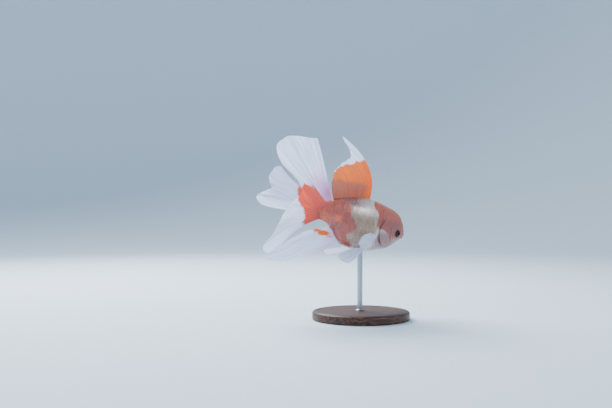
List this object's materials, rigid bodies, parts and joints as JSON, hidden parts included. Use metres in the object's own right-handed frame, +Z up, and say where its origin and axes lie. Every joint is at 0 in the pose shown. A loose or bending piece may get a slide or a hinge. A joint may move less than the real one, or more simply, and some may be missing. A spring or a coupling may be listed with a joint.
{
  "type": "goldfish display model",
  "caption": "Life-size model of a red and white fantail goldfish, swimming nose down, held over a round base by a rod.",
  "frame": {"origin": "centre of the underside of the stand's round base", "axes": "+X the way the fish heads, +Y to its left, +Z up"},
  "size_m": [0.1474, 0.0972, 0.1683],
  "materials": {
    "red_skin": "wet orange-red scaled skin",
    "white_skin": "wet pearly white scaled skin",
    "eye": "clear wet dome over a dark pupil",
    "white_fin": "thin translucent white fin with fine rays",
    "orange_fin": "thin translucent orange fin with fine rays",
    "stand_base": "dark stained wood, satin",
    "stand_rod": "brushed steel"
  },
  "bodies": {
    "root": {"head": "red_skin", "jaw": "white_skin", "trunk": "white_skin", "tail_stem": "red_skin", "gill_cover_left": "white_skin", "gill_cover_right": "white_skin", "eye_left": "eye", "eye_right": "eye", "dorsal_fin": "orange_fin", "tail_upper_left": "white_fin", "tail_upper_right": "white_fin", "tail_lower_left": "white_fin", "tail_lower_right": "white_fin", "anal_fin_left": "white_fin", "anal_fin_right": "white_fin", "pelvic_fin_left": "white_fin", "pelvic_fin_right": "white_fin", "pectoral_fin_left": "white_fin", "pectoral_fin_right": "white_fin", "stand_base": "stand_base", "stand_rod": "stand_rod"}
  },
  "joints": []
}
